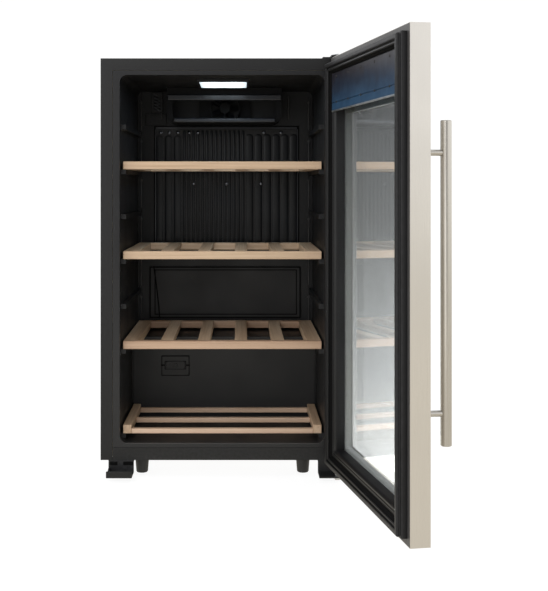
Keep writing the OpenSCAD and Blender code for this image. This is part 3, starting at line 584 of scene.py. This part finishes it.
# Rounding of each CAD node's edges, in millimetres
ROUNDING = {
    "cabinet_wrap": 1.2, "front_crossbar": 0.8, "base_plate": 0.4, "back_panel": 0.4,
    "inner_liner": 0.9, "rear_lower_cover": 0.6, "evaporator_duct": 0.9,
    "fan_frame": 0.5, "fan_rotor": 0.2, "sensor_cover": 0.5, "lamp_housing": 0.9, "lamp_lens": 0.6,
    "led_board": 0.3, "access_cover": 0.5, "access_cover_insert": 0.5, "top_hinge_plate": 0.6,
    "lower_hinge_bracket": 0.7, "left_corner_bracket": 0.7, "foot_front_left": 0.9,
    "foot_front_right": 0.9, "foot_rear_left": 0.9, "foot_rear_right": 0.9, "compressor": 1.0,
    "start_relay_box": 1.5, "drain_pan": 0.8, "power_board_box": 1.2, "cord_gland": 0.6,
    "door_steel_frame": 0.35, "outer_glass": 0.4, "inner_glass": 0.4, "glass_spacer": 0.3,
    "control_board": 0.3, "handle_bar": 0.3, "shelf_1_rails": 1.3, "shelf_1_slats": 1.0,
    "shelf_2_rails": 1.3, "shelf_2_slats": 1.0, "shelf_3_rails": 1.3, "shelf_3_slats": 1.0,
    "rack_cross_rails": 1.3, "rack_side_rails": 1.4,
}


def gasket():
    """Magnetic door seal: a wide foot, a bellows lobe and the magnet lobe, mitred at the corners, with
    painted shade in the fold on its inner side.
    """
    low, high = door_box("door_gasket")
    width, depth = 23 * MM, high.y - low.y
    shape = ((0, 0), (0, 0.2), (0.05, 0.32), (0.14, 0.36), (0.16, 0.52), (0.12, 0.66), (0.13, 0.86),
             (0.2, 1.0), (0.42, 1.0), (0.5, 0.9), (0.52, 0.72), (0.47, 0.58), (0.53, 0.5), (0.6, 0.55),
             (0.66, 0.76), (0.74, 0.8), (0.81, 0.7), (0.82, 0.6), (0.76, 0.5), (0.76, 0))
    profile = [(share, low.y + lift * depth) for share, lift in shape]
    outer = (low.x, low.z, high.x, high.z)
    inner = (low.x + width, low.z + width, high.x - width, high.z - width)
    mesh = fix_normals(ring_mesh("gasket_profile", outer, inner, profile, OPENED))
    piece = place_piece("gasket_profile", mesh, "door_gasket")
    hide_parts("door_gasket")
    # Painted shade: a near-black strip in the fold along the gasket's inner side.
    shade_fold = [(0.77, low.y), (0.77, low.y + 0.52 * depth), (0.86, low.y + 0.34 * depth),
            (0.97, low.y + 0.1 * depth), (1.0, low.y)]
    mesh = fix_normals(ring_mesh("gasket_fold_shade", outer, inner, shade_fold, OPENED))
    place_piece("gasket_fold_shade", mesh, "door_gasket", SEAM)


def door_trim():
    """Moulded inner frame of the door: two grooves, a slanted lip and the skirt down to the glass."""
    low, high = door_box("door_inner_frame")
    window = (-195 * MM, 70 * MM, 195 * MM, 802 * MM)
    back, flange_front, skirt = high.y, -19.7 * MM, low.y
    groove = back - 1.3 * MM
    shape = ((0, flange_front), (0, back), (0.6, back), (0.625, groove), (0.66, groove), (0.685, back),
             (0.76, back), (0.785, groove), (0.82, groove), (0.845, back), (0.91, back - 0.4 * MM),
             (0.965, back - 2.5 * MM), (1.0, back - 6 * MM), (1.0, skirt), (0.955, skirt),
             (0.955, flange_front))
    outer = (low.x, low.z, high.x, high.z)
    mesh = fix_normals(ring_mesh("door_trim_profile", outer, window, shape, OPENED))
    piece = place_piece("door_trim_profile", mesh, "door_inner_frame")
    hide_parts("door_inner_frame")
    round_edges(piece, 0.3 * MM)


def control_cover():
    """Glossy cover over the control board: a plate, a lower strip and the clip heads on their seam."""
    low, high = door_box("control_cover")
    face = high.y - 1.2 * MM
    back = face - 2 * MM
    seam_z = low.z + 16.9 * MM
    half_seam = 0.7 * MM
    plates = [((low.x, back, seam_z + half_seam), (high.x, face, high.z)),
              ((low.x, back, low.z), (high.x, face, seam_z - half_seam)),
              ((low.x + 8 * MM, back - 0.6 * MM, low.z + 6 * MM),
               (high.x - 8 * MM, back + 0.4 * MM, high.z - 4 * MM))]
    cover = bar_piece("control_cover_plates", "control_cover", plates, COVER_PAINTED_LAMP_BLUE, 0.7, 3, OPENED)
    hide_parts("control_cover")
    lip = [((low.x, face - 1.5 * MM, low.z - 1 * MM), (high.x, face + 0.9 * MM, low.z + 2.2 * MM))]
    bar_piece("control_cover_lip", "control_cover", lip, MATERIALS["zinc_steel"], 0.5, 2, OPENED)
    columns, pitch = 5, 0.208
    points, faces = [], []
    for i in range(columns):
        x = low.x + (high.x - low.x) * (0.5 + (i - columns // 2) * pitch)
        for z in (seam_z, high.z - 7.5 * MM):
            add_dome(points, faces, (x, face - 0.3 * MM, z), 2.6 * MM, 1.4 * MM, 1, OPENED)
    mesh = fix_normals(mesh_of(points, faces, "control_cover_clips"))
    place_piece("control_cover_clips", mesh, "control_cover", MATERIALS["rubber"])


def glass_print():
    """Black print on the back of the outer glass, round its rim and behind the controls."""
    low, high = door_box("outer_glass")
    spacer_low, spacer_high = door_box("glass_spacer")
    front, back = high.y + 0.01 * MM, high.y + 0.07 * MM
    outer = (low.x + MM, low.z + MM, high.x - MM, high.z - MM)
    inner = (spacer_low.x + 14 * MM, spacer_low.z + 13 * MM, spacer_high.x - 14 * MM, spacer_high.z - 14 * MM)
    profile = [(0, front), (0, back), (1, back), (1, front)]
    mesh = fix_normals(ring_mesh("glass_print", outer, inner, profile, OPENED))
    place_piece("glass_print", mesh, "control_cover")


def add_pad(points, faces, x, half, z_low, z_high, base, height):
    """Adds an upright pad with round ends and a rounded face that stands out towards -Y."""
    start, turn = len(points), 8
    rings = ((0.0, 0.0), (0.0, 0.55), (0.16, 0.86), (0.4, 1.0))
    for inset, lift in rings:
        radius = half * (1 - inset)
        for centre, first in ((z_high - half, 0), (z_low + half, math.pi)):
            for i in range(turn + 1):
                angle = first + math.pi * i / turn
                points.append(Vector((x + radius * math.cos(angle), base - lift * height,
                                      centre + radius * math.sin(angle))))
    count = 2 * (turn + 1)
    for ring in range(len(rings) - 1):
        for i in range(count):
            j = (i + 1) % count
            a, b = start + ring * count, start + (ring + 1) * count
            faces.append((a + i, a + j, b + j, b + i))
    last = start + (len(rings) - 1) * count
    faces.append(tuple(last + i for i in range(count)))
    faces.append(tuple(start + i for i in reversed(range(count))))


def cooling_plate():
    """Cooling plate: a sheet with a row of pressed upright channels, wide, narrow and wide again."""
    low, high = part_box("evaporator_plate")
    sheet = high.y - 2 * MM
    base = bar_piece("cooling_plate_sheet", "evaporator_plate",
                     [((low.x, sheet, low.z), (high.x, high.y, high.z))], MATERIALS["black_plastic"], 0.6)
    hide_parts("evaporator_plate")
    plate_channels(low, high, sheet)
    front = low.y + 1 * MM
    rim = [((low.x, front, high.z - 6 * MM), (high.x, sheet, high.z)),
           ((low.x, front, low.z), (low.x + 3 * MM, sheet, high.z)),
           ((high.x - 3 * MM, front, low.z), (high.x, sheet, high.z))]
    bar_piece("cooling_plate_rim", "evaporator_plate", rim, MATERIALS["gloss_black"], 0.5)
    # Painted shade: near-black strips round the sides and top of the plate.
    line = 2 * MM
    outline_shade = [((low.x - line, low.y + MM, low.z), (low.x, high.y, high.z)),
               ((high.x, low.y + MM, low.z), (high.x + line, high.y, high.z)),
               ((low.x - line, low.y + MM, high.z), (high.x + line, high.y, high.z + line))]
    bar_piece("cooling_plate_outline_shade", "evaporator_plate", outline_shade, SEAM, 0)
    plate_rivets(low, high)


def plate_channels(low, high, sheet):
    """Channels in three groups: first and last share of the width, count, and drop of their tops in mm."""
    width = high.x - low.x
    groups = ((0.0, 0.19, 3, 20), (0.19, 0.63, 14, 8), (0.63, 1.0, 6, 17))
    points, faces = [], []
    for first, last, count, drop in groups:
        pitch = (last - first) * width / count
        for i in range(count):
            x = low.x + first * width + (i + 0.5) * pitch
            add_pad(points, faces, x, pitch / 2 - 1.7 * MM, low.z + 8 * MM, high.z - drop * MM,
                    sheet + 0.5 * MM, sheet - low.y - 0.5 * MM)
    mesh = fix_normals(mesh_of(points, faces, "cooling_plate_channels"))
    place_piece("cooling_plate_channels", mesh, "evaporator_plate", CHANNEL)


def plate_rivets(low, high):
    """Rivets of the cooling plate in three rows: share of its height, and shares of its width."""
    rows = ((0.955, (0.04, 0.1, 0.16, 0.24, 0.3, 0.76, 0.88)), (0.56, (0.27, 0.5, 0.74)),
            (0.09, (0.04, 0.1, 0.16)))
    points, faces = [], []
    for height, shares in rows:
        for share in shares:
            centre = (low.x + share * (high.x - low.x), low.y + 0.6 * MM, low.z + height * (high.z - low.z))
            add_dome(points, faces, centre, 4.2 * MM, 2.2 * MM, -1)
    mesh = fix_normals(mesh_of(points, faces, "plate_rivets"))
    place_piece("plate_rivets", mesh, "evaporator_plate", RIVET)


def flat_ring(x0, z0, x1, z1, thick, front, back):
    """Four boxes that frame a rectangle in X and Z; thick is measured inwards."""
    return [((x0, front, z0), (x1, back, z0 + thick)), ((x0, front, z1 - thick), (x1, back, z1)),
            ((x0, front, z0 + thick), (x0 + thick, back, z1 - thick)),
            ((x1 - thick, front, z0 + thick), (x1, back, z1 - thick))]


def duct_lips():
    """The two rounded lips of the air duct, lighter in colour as a painted highlight, and the flanges and the
    panel beside it.
    """
    low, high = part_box("evaporator_duct")
    depth = high.z - low.z
    lips = (("duct_upper_lip", 0.99, 0.64, 0.8), ("duct_lower_lip", 0.88, 0.02, 0.13))
    for name, half, bottom, top in lips:
        lip = [((half * low.x, low.y - 4 * MM, low.z + bottom * depth),
                (half * high.x, low.y + 1 * MM, low.z + top * depth))]
        bar_piece(name, "evaporator_duct", lip, LIP_LIT, 2.2, 4)
    flange_x, half_flange = 150 * MM, 1.5 * MM
    flanges = [((side * flange_x - half_flange, 384 * MM, 745 * MM),
                (side * flange_x + half_flange, 391 * MM, 800 * MM)) for side in (-1, 1)]
    bar_piece("duct_side_flanges", "evaporator_duct", flanges, EDGE_STRIP, 0.6)
    panel = [((-188 * MM, 387.5 * MM, 730 * MM), (-139 * MM, 390.5 * MM, 758 * MM))]
    bar_piece("duct_corner_panel", "evaporator_duct", panel, LINER_PAINTED_LIGHT, 1.2)


def sensor_slots():
    """Slanted slots across the sensor cover."""
    low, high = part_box("sensor_cover")
    count, half_length, half_width = 5, 8 * MM, 1.2 * MM
    points, faces = [], []
    for i in range(count):
        z = low.z + (i + 1) * (high.z - low.z) / (count + 1)
        tilt = Matrix.Translation((0, 0, z)) @ Matrix.Translation(((low.x + high.x) / 2, 0, 0)) \
            @ Matrix.Rotation(math.radians(28), 4, "Y")
        add_block(points, faces, (-half_length, low.y - 0.4 * MM, -half_width),
                  (half_length, low.y + 0.5 * MM, half_width), tilt)
    mesh = mesh_of(points, faces, "sensor_slots")
    place_piece("sensor_slots", mesh, "sensor_cover", MATERIALS["gloss_black"])


def cover_seams():
    """Painted shade in the seams of the rear cover and of the small access cover, and in the two slots beside
    its insert.
    """
    low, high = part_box("rear_lower_cover")
    front, back = low.y - 0.3 * MM, low.y + 0.3 * MM
    bars = flat_ring(low.x + MM, low.z + MM, high.x - MM, high.z - MM, 3 * MM, front, back)
    bars += flat_ring(low.x + 13 * MM, low.z + 9 * MM, high.x - 10 * MM, high.z - 8 * MM, 2.2 * MM,
                      front, back)
    bar_piece("rear_cover_seam_shade", "rear_lower_cover", bars, SEAM, 0)
    low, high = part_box("access_cover")
    front, back = low.y - 0.3 * MM, low.y + 0.3 * MM
    bars = flat_ring(low.x - MM, low.z - MM, high.x + MM, high.z + MM, 1.6 * MM, front, back + 2.4 * MM)
    in_low, in_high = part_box("access_cover_insert")
    bars += flat_ring(in_low.x - 0.8 * MM, in_low.z - 0.8 * MM, in_high.x + 0.8 * MM, in_high.z + 0.8 * MM,
                      1.4 * MM, front, back)
    middle, half_ear = (in_low.z + in_high.z) / 2, 1.5 * MM
    for side, edge in ((-1, in_low.x), (1, in_high.x)):
        bars.append(((edge + side * 5 * MM - 4 * MM, front, middle - half_ear),
                     (edge + side * 5 * MM + 4 * MM, back, middle + half_ear)))
    bar_piece("access_cover_seam_shade", "access_cover", bars, SEAM, 0)


def sensor_lead():
    """Thin lead that hangs down beside the rear cover's panel."""
    low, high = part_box("rear_lower_cover")
    steps, radius = 10, 1.3 * MM
    curve = [Vector((low.x + 11 * MM + 14 * MM * t + 1.5 * MM * math.sin(3 * t), low.y - 1.4 * MM,
                     high.z - t * (high.z - low.z))) for t in [i / steps for i in range(steps + 1)]]
    points, faces, sides = [], [], 8
    for centre in curve:
        for i in range(sides):
            angle = 2 * math.pi * i / sides
            points.append(centre + Vector((radius * math.cos(angle), radius * math.sin(angle), 0)))
    for ring in range(len(curve) - 1):
        for i in range(sides):
            j = (i + 1) % sides
            a, b = ring * sides, (ring + 1) * sides
            faces.append((a + i, a + j, b + j, b + i))
    faces += [tuple(range(sides)), tuple(reversed(range(len(points) - sides, len(points))))]
    mesh = fix_normals(mesh_of(points, faces, "sensor_lead"))
    place_piece("sensor_lead", mesh, "rear_lower_cover", SEAM)


def bay_lining():
    """Painted sheet that covers the foam inside the compressor bay."""
    low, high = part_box("foam_insulation")
    front, top, side, back = 284 * MM, 208 * MM, high.x - 3 * MM, high.y - 2 * MM
    left, sheet = low.x + 3 * MM, 0.5 * MM
    bars = [((left, front, low.z + 4 * MM), (side, front + sheet, top)),
            ((left, front + sheet, top - sheet), (side, back, top))]
    bar_piece("bay_lining", "back_panel", bars, MATERIALS["black_paint"], 0)


def bracket_plate():
    """Turned-up front edge of the lower left bracket, and painted shade in the two notches under the cabinet.
    """
    low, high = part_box("left_corner_bracket")
    height = 13.5 * MM
    edge = [((low.x, low.y - MM, low.z), (high.x, low.y + MM, low.z + height))]
    bar_piece("left_bracket_plate", "left_corner_bracket", edge, MATERIALS["cabinet_paint"], 1.0)
    notch_shade = [((low.x + a * MM, -MM, high.z - 10 * MM), (low.x + b * MM, 0.5 * MM, high.z - 3 * MM))
               for a, b in ((3, 18), (30, 51))]
    bar_piece("left_bracket_notch_shade", "left_corner_bracket", notch_shade, SEAM, 0.5)


def corner_highlight_strips():
    """Painted highlight: upright light strips on the rear corners, one between each pair of ledges, and the
    liner's low bead.
    """
    pitch, first, count = 91.4 * MM, 262 * MM, 6
    corner_x, back, strip, head = 196.5 * MM, 372 * MM, 62 * MM, 66 * MM
    bars = []
    for side in (-1, 1):
        x = side * corner_x
        for i in range(count):
            z = first + i * pitch
            bars.append(((x - 0.8 * MM, 368 * MM, z), (x + 0.8 * MM, back, z + strip)))
            bars.append(((x - 2.4 * MM, 367 * MM, z + strip), (x + 2.4 * MM, back, z + head)))
    bar_piece("corner_highlight_strips", "inner_liner", bars, EDGE_STRIP, 0.3)
    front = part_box("inner_liner")[0].y
    # A real rounded bead whose lighter colour is a painted highlight on the liner's bottom lip.
    highlight_bead = [((-195 * MM, front - 0.2 * MM, 67.2 * MM), (195 * MM, front + 1.5 * MM, 68.8 * MM))]
    bar_piece("liner_bottom_highlight_bead", "inner_liner", highlight_bead, EDGE_STRIP, 0.6)


def door_edge_strip():
    """Dark strip on the back of the steel skin, round the moulded trim."""
    low, high = door_box("door_steel_frame")
    trim_low, trim_high = door_box("door_inner_frame")
    outer = (low.x + 0.8 * MM, low.z + 0.8 * MM, high.x - 0.8 * MM, high.z - 0.8 * MM)
    inner = (trim_low.x + MM, trim_low.z + MM, trim_high.x - MM, trim_high.z - MM)
    back = high.y
    profile = [(0, back - 0.2 * MM), (0, back + 0.3 * MM), (1, back + 0.3 * MM), (1, back - 0.2 * MM)]
    mesh = fix_normals(ring_mesh("door_edge_strip", outer, inner, profile, OPENED))
    place_piece("door_edge_strip", mesh, "door_core", EDGE_STRIP)


for node, width in ROUNDING.items():
    rounded_node(node, width * MM)
gasket()
door_trim()
control_cover()
glass_print()
door_edge_strip()
cooling_plate()
duct_lips()
sensor_slots()
cover_seams()
sensor_lead()
bracket_plate()
corner_highlight_strips()
bay_lining()
for node, cad_object in NODES.items():
    cad_object.data.materials.clear()
    cad_object.data.materials.append(material_for(node))


# ---------- Stage ----------


def floor():
    """Plain pale floor that stays nearly white under the object."""
    mesh = mesh_of([(-4, -4, 0), (4, -4, 0), (4, 4, 0), (-4, 4, 0)], [(0, 1, 2, 3)], "floor")
    piece = bpy.data.objects.new("floor", mesh)
    bpy.context.scene.collection.objects.link(piece)
    f = Finish("floor", (0.86, 0.86, 0.85), 0.8)
    f.rough(f.noise(3), 0.75, 0.85)
    path = f.add("LightPath")
    pale = f.add("Emission")
    f.link(f.mix(path.outputs["Is Camera Ray"], (0.72, 0.67, 0.57), (0.9, 0.9, 0.9)), pale.inputs["Color"])
    soft = f.add("BsdfDiffuse")
    soft.inputs["Color"].default_value = (0.2, 0.2, 0.2, 1)
    seen = f.add("AddShader")
    f.link(pale.outputs[0], seen.inputs[0])
    f.link(soft.outputs[0], seen.inputs[1])
    f.surface(f.choose(path.outputs["Is Diffuse Ray"], seen.outputs[0], f.shader.outputs[0]))
    mesh.materials.append(f.material)
    piece.visible_transmission = False


def graded(nodes, height, stops):
    """A colour for each height of the view direction."""
    first, last = stops[0][0], stops[-1][0]
    ramp = nodes.add("ValToRGB")
    nodes.link(nodes.spread(height, first, last), ramp.inputs[0])
    while len(ramp.color_ramp.elements) < len(stops):
        ramp.color_ramp.elements.new(0.5)
    for element, (z, colour) in zip(ramp.color_ramp.elements, stops):
        element.position = (z - first) / (last - first)
        element.color = (*colour, 1)
    return ramp.outputs[0]


def world():
    """White surroundings: a soft warm-to-cool wrap, brighter sides, and a graded backdrop behind the glass.

    The backdrop is seen by rays that leave through glass and haven't bounced off a matt surface.
    """
    place = bpy.data.worlds.new("studio")
    bpy.context.scene.world = place
    place.use_nodes = True
    n = Nodes(place.node_tree)
    across, _, height = n.split(n.add("TexCoord").outputs["Generated"])
    wrap = graded(n, height, ((-1.0, (0.34, 0.31, 0.26)), (-0.1, (0.34, 0.325, 0.3)),
                              (0.12, (0.34, 0.34, 0.345)), (1.0, (0.46, 0.47, 0.49))))
    sides = graded(n, height, ((-0.45, (0.8, 0.68, 0.46)), (-0.1, (1.02, 0.99, 0.89)),
                               (0.12, (1.72, 1.74, 1.78)), (0.6, (1.1, 1.1, 1.1))))
    backdrop = graded(n, height, ((-0.26, (3.7, 3.7, 3.7)), (-0.22, (2.95, 2.9, 2.85)),
                                  (-0.17, (2.0, 2.0, 2.0)), (-0.09, (1.2, 1.2, 1.2)),
                                  (-0.03, (0.7, 0.7, 0.7)), (0.07, (0.43, 0.43, 0.44))))
    sideways = n.spread(n.math("ABSOLUTE", across), 0.22, 0.45)
    path = n.add("LightPath")
    unbounced = n.math("LESS_THAN", path.outputs["Diffuse Depth"], 0.5)
    through = n.math("MULTIPLY", path.outputs["Is Transmission Ray"], unbounced)
    away = n.mix(through, n.mix(sideways, wrap, sides), backdrop)
    n.link(n.mix(path.outputs["Is Camera Ray"], away, (1.05, 1.05, 1.05)),
           n.tree.nodes["Background"].inputs["Color"])


def area_light(name, place, target, size, power, colour=(1, 1, 1)):
    data = bpy.data.lights.new(name, "AREA")
    data.shape = "RECTANGLE"
    data.size, data.size_y = size
    data.energy = power
    data.color = colour
    lamp = bpy.data.objects.new(name, data)
    lamp.location = place
    lamp.rotation_euler = (Vector(target) - Vector(place)).to_track_quat("-Z", "Y").to_euler()
    bpy.context.scene.collection.objects.link(lamp)
    return lamp


def lights():
    low, high = cad_box
    middle = (Vector(low) + Vector(high)) / 2
    area_light("key", (-1.1, -3.2, 1.9), middle, (1.6, 1.6), 21)
    area_light("top", (0.1, 0.2, 3.2), (0.1, 0.1, 0.8), (2.4, 2.0), 14)
    area_light("low_fill", (-0.2, -1.9, 0.35), (0.0, 0.2, 0.15), (0.9, 0.5), 1.3)
    lens_low, lens_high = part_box("lamp_lens")
    centre = (lens_low + lens_high) / 2
    area_light("lamp_glow", (centre.x, centre.y, lens_low.z - 2 * MM), (centre.x, centre.y, 0),
               (0.09, 0.1), 0.4, (0.6, 0.8, 1.0)).visible_glossy = False


def camera():
    """A level camera at the height of the cabinet's upper middle, a little to the right."""
    data = bpy.data.cameras.new("camera")
    data.sensor_width = 36
    data.lens = 66.66
    data.shift_x = 0.0543
    data.shift_y = -0.1852
    eye = bpy.data.objects.new("camera", data)
    eye.location = (0.03985, -2.20457, 0.58663)
    eye.rotation_euler = (math.radians(90), 0, 0)
    bpy.context.scene.collection.objects.link(eye)
    bpy.context.scene.camera = eye


floor()
world()
lights()
camera()
bpy.context.scene.view_settings.view_transform = "Standard"
